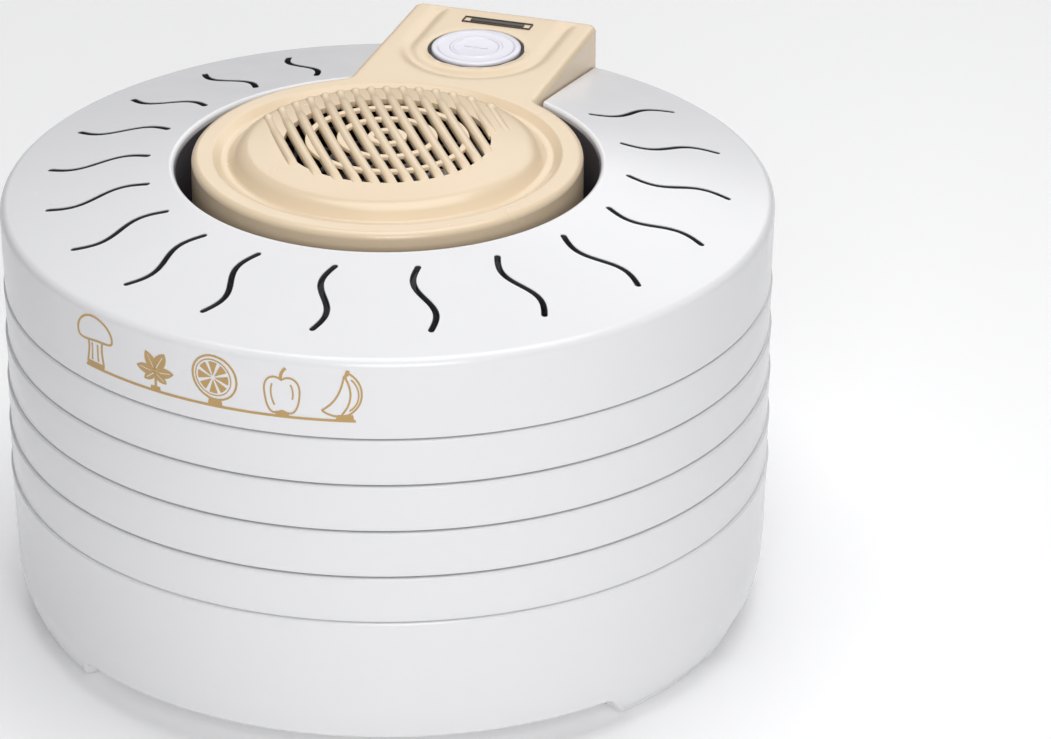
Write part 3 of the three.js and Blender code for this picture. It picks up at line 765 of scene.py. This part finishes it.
def head_deck(bm, outline, groove, hole):
    """Fills the flat deck between three outlines with fine triangles, and sinks the channel."""
    points, edges = outline_edges((outline, groove, hole))
    parts = 8                 # points to test along each edge
    border = kdtree.KDTree(parts * len(points))
    for index, (i, j) in enumerate(edges):
        for part in range(parts):
            border.insert(points[i].lerp(points[j], part / parts).to_3d(), parts * index + part)
    border.balance()
    step, margin = 1.9, 1.2
    for row in range(int((TONGUE_END + HEAD_RADIUS) / step)):
        for column in range(int(2 * HEAD_RADIUS / step)):
            x = -HEAD_RADIUS + step * (column + 0.5 * (row % 2))
            y = -HEAD_RADIUS + step * row
            near_button = hypot(x, y - BUTTON_Y) < BUTTON_HOLE + 2.2
            in_disc = hypot(x, y) < HEAD_RADIUS - HEAD_ROUND - 1
            in_tongue = (abs(x) < TONGUE_HALF - HEAD_ROUND - 1
                         and TONGUE_START < y < TONGUE_END - HEAD_ROUND - 1.2)
            in_corner = abs(x) > TONGUE_HALF - TONGUE_CORNER and y > TONGUE_END - TONGUE_CORNER - 3
            if (in_disc and y < TONGUE_START) or near_button or in_corner:
                continue
            on_deck = (in_disc or in_tongue) and hypot(x, y) > GROOVE_OUTER + 1
            if on_deck and border.find((x, y, 0))[2] > margin:
                points.append(Vector((x, y)))
    fill_deck(bm, points, edges, outline, lambda x, y: HEAD_TOP - channel_depth(x, y))


def button_hole(radius):
    return circle_outline(radius, BUTTON_HOLE_STEPS, 0, BUTTON_Y)


def head_shell():
    """Outer skin of the power unit cover with its inner skin, as one closed moulding."""
    bm = bmesh.new()
    outline, inner = head_outline(0), head_outline(WALL)
    groove = circle_outline(GROOVE_OUTER, GROOVE_STEPS)
    inner_top = HEAD_TOP - WALL

    loops = []
    edge_steps = 8
    for k in range(edge_steps + 1):
        turn = pi / 2 * k / edge_steps
        z = HEAD_TOP - HEAD_ROUND * (1 - cos(turn))
        loops.append([(x, y, z - channel_depth(x, y) * (1 - k / edge_steps))
                      for x, y in head_outline(HEAD_ROUND * (1 - sin(turn)))])
    loops.append([(x, y, TONGUE_BOTTOM) for x, y in outline])
    loft(bm, loops)
    loft(bm, [[(x, y, TONGUE_BOTTOM) for x, y in outline],
              [(x, y, TONGUE_BOTTOM) for x, y in inner],
              [(x, y, inner_top) for x, y in inner]])

    hole_round, hole_steps = 0.5, 4
    head_deck(bm, head_outline(HEAD_ROUND), groove, button_hole(BUTTON_HOLE + hole_round))
    hole_rows = []
    for k in range(hole_steps + 1):
        turn = pi / 2 * k / hole_steps
        z = HEAD_TOP - hole_round * (1 - cos(turn))
        radius = BUTTON_HOLE + hole_round * (1 - sin(turn))
        hole_rows.append([(x, y, z) for x, y in button_hole(radius)])
    hole_rows.append([(x, y, inner_top) for x, y in button_hole(BUTTON_HOLE)])
    loft(bm, hole_rows)
    points, edges = outline_edges((inner, groove, button_hole(BUTTON_HOLE)))
    fill_deck(bm, points, edges, inner, lambda x, y: inner_top)

    dome_start, dome_steps = 57, 8
    outer_path = rounded_path([(GROOVE_OUTER, HEAD_TOP), (74.4, HEAD_TOP, 2.4),
                               (70.4, 206.5, 2.6), (67.4, 206.5, 2.4), (62, dome_height(62), 9),
                               (dome_start, dome_height(dome_start))], False, 8)
    for k in range(1, dome_steps + 1):
        r = dome_start + (GRILLE_RADIUS - dome_start) * k / dome_steps
        outer_path.append((r, dome_height(r)))
    inner_path = [(GRILLE_RADIUS, dome_height(GRILLE_RADIUS) - WALL),
                  (58, dome_height(58) - WALL), (60.4, 209.4), (65.2, 204.3), (72.6, 204.3),
                  (74.6, inner_top), (GROOVE_OUTER, inner_top)]
    revolve_into(bm, outer_path + inner_path, GROOVE_STEPS, closed=False)
    return new_object("head_shell", bm, 40)


def head_drum():
    """The round lower wall of the power unit, down inside the lid's well."""
    top = TONGUE_BOTTOM + 0.2
    path = [(82.4, HEAD_BOTTOM, 0.8), (HEAD_RADIUS, top), (HEAD_RADIUS - WALL, top),
            (79.8, HEAD_BOTTOM, 0.8)]
    return revolved("head_drum", path, GROOVE_STEPS)


def slats():
    """Gently bowed ribs: raised round ends beyond the grille, flush ends before it."""
    bm = bmesh.new()
    section = [(-0.5, -1.7), (-0.5, -0.4), (-0.46, 0.45), (-0.3, 1.1), (0, SLAT_LIFT),
               (0.3, 1.1), (0.46, 0.45), (0.5, -0.4), (0.5, -1.7)]
    shift = 0.28              # of a pitch, from the middle slat to the axis
    bow, bow_reach = 2.2, 50
    end_length, fade = 2.6, 7
    nub_height, nub_place, nub_width = 0.6, 2.2, 2.2
    sink = 0.75               # how far a slat lies lower beyond the grille
    end_steps, steps = (0.15, 0.5, 1.1, 1.9), 40
    for index in range(-6, 9):
        offset = (index - shift) * SLAT_PITCH
        far = sqrt(SLAT_REACH ** 2 - offset ** 2)
        near = sqrt(max((GRILLE_RADIUS + 2) ** 2 - offset ** 2, 40))
        stations = [-far + step for step in end_steps]
        stations += [-far + 3 + (near + far - 3) * k / steps for k in range(steps + 1)]
        loops = []
        for x in stations:
            swell = sqrt(max(1 - max(1 - (x + far) / end_length, 0) ** 2, 0.02))
            shown = smooth((near - x) / fade)
            y = offset + bow * ((x / bow_reach) ** 2 - 0.5)
            height = dome_height(min(hypot(x, y), SLAT_REACH))
            nub = nub_height * exp(-((x + far - nub_place) / nub_width) ** 2)
            sunk = sink * smooth((hypot(x, y) - GRILLE_RADIUS) / fade)
            loop = []
            for u, v in section:
                lift = (v + nub) * swell * shown - 0.2 * (1 - shown) if v > 0 else v
                loop.append((x, y + u * SLAT_WIDTH * swell, height + lift - sunk))
            loops.append(loop)
        capped_loft(bm, loops)
    bmesh.ops.rotate(bm, verts=bm.verts, cent=(0, 0, 0), matrix=Matrix.Rotation(SLAT_TURN, 3, "Z"))
    for radius in (7, 20, 33.5):
        top = dome_height(radius) + 0.35
        ring_into(bm, radius - 1.4, radius + 1.4, top - 1.8, top, 96)
    return new_object("slats", bm, 50)


def shade_shroud():
    """Dark liner inside the round wall of the power unit, open where the leads pass; it is painted
    shade for the inside seen through the grille.
    """
    low, high, thickness = HEAD_BOTTOM + 1.5, 203.8, 0.6
    outer, inner = 79.6, 65.5
    path = [(outer, low), (outer, high), (inner, high), (inner, high - thickness),
            (outer - thickness, high - thickness), (outer - thickness, low)]
    shroud = revolved("shade_shroud", path, 144)
    combine(shroud, prism("notch", rectangle(18, 60, 100), 186, 199), "DIFFERENCE")
    reshade(shroud)
    return shroud


def button_shade_collar():
    """Dark ring that fills the gap round the push button; it is painted shade for the shadowed gap.
    """
    inner, outer = 20.2, BUTTON_HOLE - 0.1
    top = HEAD_TOP - 0.3
    low = top - 1.6
    collar = revolved("button_shade_collar", [(inner, low), (outer, low), (outer, top, 0.2),
                                        (inner, top, 0.2)], 128)
    collar.data.transform(TO_BUTTON)
    return collar


def intake_guard():
    """Rings and spokes under the slats."""
    bm = bmesh.new()
    low, high, half, spokes = GUARD_LOW.z, GUARD_HIGH.z, 1.2, 8
    for radius in (20.5, 39.5, 58.5):
        ring_into(bm, radius - half, radius + half, low, high, 96)
    ring_into(bm, 2, 6, low, high, 48)
    for k in range(spokes):
        prism_into(bm, rectangle(half, 5, 58), low + 0.1, high - 0.1, tau * k / spokes)
    return new_object("intake_grid", bm)


def button():
    """Push button: soft dish with a raised ring and a short bar."""
    top = HEAD_TOP + 1.0
    low = BUTTON_LOW.z
    points = [(0, low + 3.2), (17.5, low + 3.2), (17.5, low), (23, low, 0.4), (23, low + 1.7, 0.3),
              (19.9, low + 1.7), (19.9, top - 0.15, 0.9), (17.6, top, 1.2),
              (16.4, top - 0.5, 1.2), (12, top - 0.55, 0.8), (11.4, top - 0.15, 0.4),
              (10.4, top - 0.15, 0.4), (9.8, top - 0.55, 0.6), (0, top - 0.55)]
    cap = revolved("button_cap", points, 128, arc_steps=5)
    outline = rounded_path([(-5.5, -0.8, 0.7), (5.5, -0.8, 0.7), (5.5, 0.8, 0.7), (-5.5, 0.8, 0.7)])
    bar = prism("bar", outline, top - 1.2, top - 0.15)
    cap.data.transform(TO_BUTTON)
    bar.data.transform(TO_BUTTON)
    return joined("button_cap", [cap, bar])


def button_spring():
    """Coil spring under the push button, made at the height of its CAD part."""
    turns, steps, radius, wire = 2.5, 100, 6.6, 0.6
    low = SPRING_LOW.z + wire
    rise = SPRING_HIGH.z - wire - low
    bm = bmesh.new()
    loops = []
    for i in range(steps + 1):
        angle = tau * turns * i / steps
        outwards = Vector((cos(angle), sin(angle), 0))
        along = Vector((-radius * outwards.y, radius * outwards.x, rise / (tau * turns)))
        upwards = outwards.cross(along.normalized())
        centre = outwards * radius + Vector((0, BUTTON_Y, low + rise * i / steps))
        loops.append([centre + (outwards * x + upwards * y)
                      for x, y in circle_outline(wire, 12)])
    capped_loft(bm, loops)
    return new_object("spring_coil", bm, 50)


def badge():
    """Thin raised frame round a plain bar, with no lettering."""
    width, depth = BADGE_HIGH.x - BADGE_LOW.x, BADGE_HIGH.y - BADGE_LOW.y
    y = (BADGE_LOW.y + BADGE_HIGH.y) / 2
    bm = bmesh.new()

    def outline(inset_x, inset_y, z):
        w, d = width / 2 - inset_x, depth / 2 - inset_y
        path = rounded_path([(-w, -d, 0.3), (w, -d, 0.3), (w, d, 0.3), (-w, d, 0.3)])
        return [(x, y + v, z) for x, v in path]

    low, high = BADGE_LOW.z - SEAM_GAP, BADGE_LOW.z + 0.35
    frame = [(0, low), (0, high - 0.1), (0.1, high), (0.5, high), (0.6, high - 0.1), (0.6, low)]
    loft(bm, [outline(inset, inset, z) for inset, z in frame + frame[:1]])
    bar = [(3.6, low), (3.6, high - 0.1), (3.7, high)]
    capped_loft(bm, [outline(inset, inset - 1.9, z) for inset, z in bar])
    return new_object("badge_frame", bm)


# ---------------- printed icons

def lid_wall_radius(z):
    """Radius of the lid's side wall, which leans out by 1 mm over its height."""
    foot, height = 164.0, 31
    return foot + min(max((z - LID_SEAM) / height, 0), 1)


def stroke(points, width, closed=False):
    """A band of even width along a line, as one outline or as an outline with a hole."""
    count = len(points)
    left, right = [], []
    for i, point in enumerate(points):
        before = points[i - 1] if closed or i > 0 else point
        after = points[(i + 1) % count] if closed or i < count - 1 else point
        along = (Vector(after) - Vector(before)).normalized()
        across = Vector((-along.y, along.x)) * width / 2
        left.append(tuple(Vector(point) + across))
        right.append(tuple(Vector(point) - across))
    if closed:
        return [left, right]
    return [left + right[::-1]]


def ellipse(x, y, a, b, turn, start=0, end=360, count=28):
    """Points round an ellipse or along an arc of it, from start to end in degrees."""
    points = []
    for k in range(count if end - start == 360 else count + 1):
        angle = radians(start + (end - start) * k / count)
        u, v = a * cos(angle), b * sin(angle)
        c, s = cos(turn), sin(turn)
        points.append((x + u * c - v * s, y + u * s + v * c))
    return points


def bezier(*controls):
    """Points along the Bezier curve of some control points."""
    count = 14
    points = []
    for k in range(count + 1):
        t = k / count
        level = [Vector(c) for c in controls]
        while len(level) > 1:
            level = [a.lerp(b, t) for a, b in zip(level, level[1:])]
        points.append(tuple(level[0]))
    return points


def closed_curve(*controls):
    """Outline of successive cubic Bezier curves that share their end points."""
    points = bezier(*controls[:4])
    for i in range(3, len(controls), 3):
        points += bezier(*controls[i:i + 3], controls[(i + 3) % len(controls)])[1:]
    return points[:-1]


def mushroom():
    cap = closed_curve((-9.2, 13.5), (-10.5, 20), (-4, 24.5), (0.5, 24), (6, 23.5), (10, 19),
                       (9.4, 15), (9.4, 12.4), (4, 13.2), (0, 12.6), (-4, 12), (-8.6, 10.8))
    stem = bezier((-3.6, 12.2), (-2.4, 8), (-4.6, 4), (-4.4, 0.5))
    stem += bezier((4.2, 0.5), (4.6, 4), (2.8, 8), (4.2, 12.8))
    shapes = [stroke(cap, 0.9, True), stroke(stem, 0.9)]
    shapes += [stroke(bezier((-1.6, 11), (-1.2, 8), (-2, 5), (-1.8, 3)), 0.7)]
    shapes += [stroke(bezier((1.4, 11), (1.6, 8), (1.1, 5), (1.5, 3)), 0.7)]
    shapes += [[[(-3.6, 0), (3.8, 0), (3.9, 2.2), (-3.7, 2.2)]]]
    return shapes


def leaf(x, y, length, width, turn):
    """Pointed leaf with a gap along its vein, growing from (x, y)."""
    c, s = cos(turn), sin(turn)
    outline = closed_curve((0, 0), (length * 0.35, width), (length * 0.8, width * 0.5), (length, 0),
                           (length * 0.8, -width * 0.5), (length * 0.35, -width))
    vein = [(length * 0.12, 0), (length * 0.8, 0)]

    def turned(points):
        return [(x + u * c - v * s, y + u * s + v * c) for u, v in points]

    middle = stroke(turned(vein), 0.5)[0]
    return [turned(outline), middle]


def herb():
    shapes = [leaf(0, 10, 11, 5.2, radians(60)), leaf(0, 10, 10, 4.6, radians(118)),
              leaf(0.5, 9, 9.5, 4.2, radians(8)), leaf(-0.5, 9, 9.5, 4.2, radians(172)),
              leaf(0, 9, 7.5, 3.6, radians(-38)), leaf(0, 9, 7.5, 3.6, radians(218))]
    shapes += [stroke([(0, 10), (0.3, 5), (0, 0.5)], 1.2)]
    shapes += [[[(-2.6, 0), (2.6, 0), (2.4, 2), (-2.4, 2)]]]
    return shapes


def lemon():
    x, y, a, b, tilt = 0, 13.0, 9.6, 10.4, radians(20)
    shapes = [stroke(ellipse(x, y, a, b, tilt), 0.9, True),
              stroke(ellipse(x - 0.5, y, a - 1.9, b - 1.9, tilt), 0.5, True)]
    for k in range(8):
        start, end = 45 * k + 7, 45 * k + 38
        arc = ellipse(x - 0.5, y, a - 3.0, b - 3.0, tilt, start, end, 6)
        shapes.append([[(x - 0.5 + 0.12 * (arc[3][0] - x), y + 0.12 * (arc[3][1] - y))] + arc])
    shapes += [[[(-3.2, 0), (3.2, 0), (2.8, 2.6), (-2.8, 2.6)]]]
    return shapes


def pepper():
    body = closed_curve((0, 17.5), (-3.5, 20.5), (-9.6, 18.5), (-8.6, 11), (-8, 5), (-6.5, 1),
                        (-3.6, 1.2), (-1.5, 1.4), (-1, 2.4), (0, 2.2), (1, 2.4), (1.8, 1.2),
                        (3.8, 1.4), (7, 1.6), (8.4, 6), (8.8, 11), (9.6, 18.5), (3.5, 20.5))
    shapes = [stroke(body, 0.9, True)]
    shapes += [stroke(bezier((-0.4, 17.6), (-0.6, 20), (0.4, 22), (2.2, 23.6)), 1.5)]
    shapes += [stroke(bezier((-4.6, 15.4), (-6.2, 12), (-5, 7), (-3.6, 5)), 0.8)]
    shapes += [stroke(bezier((4.4, 15.6), (6, 13), (5.6, 10), (5.2, 8.4)), 0.8)]
    shapes += [[[(-3.4, 0), (3.4, 0), (3.2, 2), (-3.2, 2)]]]
    return shapes


def banana():
    outer = bezier((1.5, 23.5), (9.5, 20), (11, 8), (2, 2.4))
    inner = bezier((-1.5, 1.8), (4.5, 8), (4.2, 16), (0.4, 21.6))
    second_outer = bezier((0.4, 21.6), (-1, 13), (-4, 8), (-9.6, 4.4))
    second_inner = bezier((-9.6, 4.4), (-7, 2), (-3, 1.4), (-1.5, 1.8))
    shapes = [stroke(outer + inner[:-1], 0.9, True)]
    shapes += [stroke(second_outer, 0.9), stroke(second_inner, 0.9)]
    shapes += [stroke(bezier((3.5, 20), (8, 16), (8, 8), (2.6, 4.6)), 0.7)]
    shapes += [[[(0.2, 21.4), (1.4, 24.6), (3.0, 24.2), (2.4, 21.8)]]]
    shapes += [[[(-3.6, 0), (4.6, 0), (4.2, 2.6), (-2.6, 2.4)]]]
    return shapes


def print_shape(bm, rings, angle, base_z):
    """Lays a flat shape on the lid's side wall as a thin raised film."""
    film, root = 0.12, -0.3

    def within(centre):
        return sum(inside(centre, ring) for ring in rings) % 2 == 1

    def wrap(point, depth):
        z = base_z + point.y
        radius = lid_wall_radius(z) + depth
        turn = angle + point.x / OUTER
        return (radius * cos(turn), radius * sin(turn), z)

    verts, faces = triangulated(*outline_edges(rings), within)
    front = [bm.verts.new(wrap(v, film)) for v in verts]
    back = [bm.verts.new(wrap(v, root)) for v in verts]
    sides = {}                # each directed side of a triangle, and its triangle
    for face in faces:
        bm.faces.new([front[i] for i in face])
        bm.faces.new([back[i] for i in reversed(face)])
        sides.update({(a, face[(i + 1) % len(face)]): face for i, a in enumerate(face)})
    for a, b in sides:
        if (b, a) not in sides:
            bm.faces.new((front[a], back[a], back[b], front[b]))
    bmesh.ops.delete(bm, geom=[v for v in front + back if not v.link_faces], context="VERTS")


def icon_print():
    """Five food outlines that stand on one thin line, round the front of the lid."""
    base_z = LID_SEAM + 8.6
    bm = bmesh.new()
    icons = [(-117.4, mushroom, 1.12, 0.96), (-105.8, herb, 0.95, 0.9), (-95.9, lemon, 1.02, 0.96),
             (-85.8, pepper, 0.85, 0.92), (-77, banana, 0.92, 0.92)]
    for degrees, icon, wide, tall in icons:
        for rings in icon():
            sized = [[(x * wide, y * tall) for x, y in ring] for ring in rings]
            print_shape(bm, sized, radians(degrees), base_z)
    steps, line_top, line_bottom = 60, 0.2, -0.9
    middle, half = radians(-97.4), radians(22.1)
    across = [half * (2 * k / steps - 1) * OUTER for k in range(steps + 1)]
    line = [(x, line_top) for x in across] + [(x, line_bottom) for x in reversed(across)]
    print_shape(bm, [line], middle, base_z)
    return new_object("icon_print", bm, 60)


# ---------------- camera, floor and light

CAMERA_AZIMUTH = 19.5
CAMERA_ELEVATION = 25.09
CAMERA_DISTANCE = 2.373
CAMERA_ROLL = -0.135
LENS = 189.5
AIM_RIGHT = 0.0583
AIM_UP = -0.0446


def make_camera():
    """Camera that looks at a point a little beside the middle of the lid's seam."""
    azimuth, elevation = radians(CAMERA_AZIMUTH), radians(CAMERA_ELEVATION)
    back = Vector((sin(azimuth) * cos(elevation),
                   -cos(azimuth) * cos(elevation), sin(elevation)))
    right = Vector((cos(azimuth), sin(azimuth), 0))
    up = back.cross(right)
    centre = Vector((0, 0, LID_SEAM * MM))
    position = centre + back * CAMERA_DISTANCE
    aim = centre + right * AIM_RIGHT + up * AIM_UP
    data = bpy.data.cameras.new("camera")
    data.lens = LENS
    data.sensor_width = 36
    data.clip_end = 50
    camera = bpy.data.objects.new("camera", data)
    bpy.context.scene.collection.objects.link(camera)
    look = (aim - position).to_track_quat("-Z", "Y").to_matrix().to_4x4()
    roll = Matrix.Rotation(radians(-CAMERA_ROLL), 4, "Z")
    camera.matrix_world = Matrix.Translation(position) @ look @ roll
    bpy.context.scene.camera = camera


def area_light(name, location, target, size, power):
    """Rectangular softbox that faces a target."""
    data = bpy.data.lights.new(name, "AREA")
    data.shape = "RECTANGLE"
    data.size, data.size_y = size
    data.energy = power
    light = bpy.data.objects.new(name, data)
    bpy.context.scene.collection.objects.link(light)
    light.location = location
    light.rotation_euler = (Vector(target) - Vector(location)).to_track_quat("-Z", "Y").to_euler()


def make_studio():
    """Plain pale floor, faint ambient light and three softboxes."""
    bpy.ops.mesh.primitive_plane_add(size=30, location=(0, 0, 0))
    floor = bpy.context.object
    floor.name = "studio_floor"
    material = moulded("studio_floor", (0.93, 0.93, 0.935), 0.8, grain=0.0, mottling=0.0)
    shader = material.node_tree.nodes["Principled BSDF"]
    socket(shader, "Emission Color", (1, 1, 1, 1))
    socket(shader, "Emission Strength", 0.13)
    floor.data.materials.append(material)
    world = bpy.data.worlds.new("studio")
    bpy.context.scene.world = world
    world.use_nodes = True
    background = world.node_tree.nodes["Background"]
    socket(background, "Color", (0.93, 0.94, 1.0, 1))
    socket(background, "Strength", 0.09)
    middle = (0, 0, 0.15)
    area_light("top_softbox", (0.1, 0.1, 1.7), middle, (1.4, 1.4), 20)
    area_light("front_softbox", (0.75, -1.7, 0.95), middle, (1.0, 1.0), 18)
    area_light("back_softbox", (-0.2, 1.6, 1.2), middle, (1.6, 0.8), 6)
    bpy.context.scene.view_settings.view_transform = "Standard"


# ---------------- assembly

make_camera()
make_studio()
record_slots = {row["node"]: row["material_slot"] for row in frame["record"]["subparts"]}
for node, obj in frame["nodes"].items():
    obj.data.materials.clear()
    obj.data.materials.append(MATERIALS[record_slots[node]])

place(bowl(), "base", "white_shell", replaces=["base_bowl", "foot_1", "foot_2", "foot_3"])
make_trays()
place(lid(), "lid", "white_shell", replaces=["lid_cover", "lid_well"])
# the dark vent sleeves are painted shade inside the slots
place(vent_shade_lining(), "lid", "vent_shade_lining")
# the dark well liner is painted shade for the well's recess
place(well_shade_liner(), "lid", "well_shade_liner")
place(icon_print(), "lid", "gold_print")
cover = joined("head_cover", [head_shell(), head_drum(), slats()])
reshade(cover, 50)
place(cover, "power_unit", "cream_shell", replaces=["top_housing"])
place(intake_guard(), "power_unit", "black_moulding", replaces=["intake_guard"])
# this dark liner is painted shade inside the power unit
place(shade_shroud(), "power_unit", "black_moulding")
# this dark ring is painted shade for the gap round the button
place(button_shade_collar(), "power_unit", "black_moulding")
place(button(), "button", "button_plastic", replaces=["power_button"])
spring = place(button_spring(), "power_unit", "steel", replaces=["button_spring"])
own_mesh(spring)
place(badge(), "power_unit", "badge", replaces=["badge_plate"])
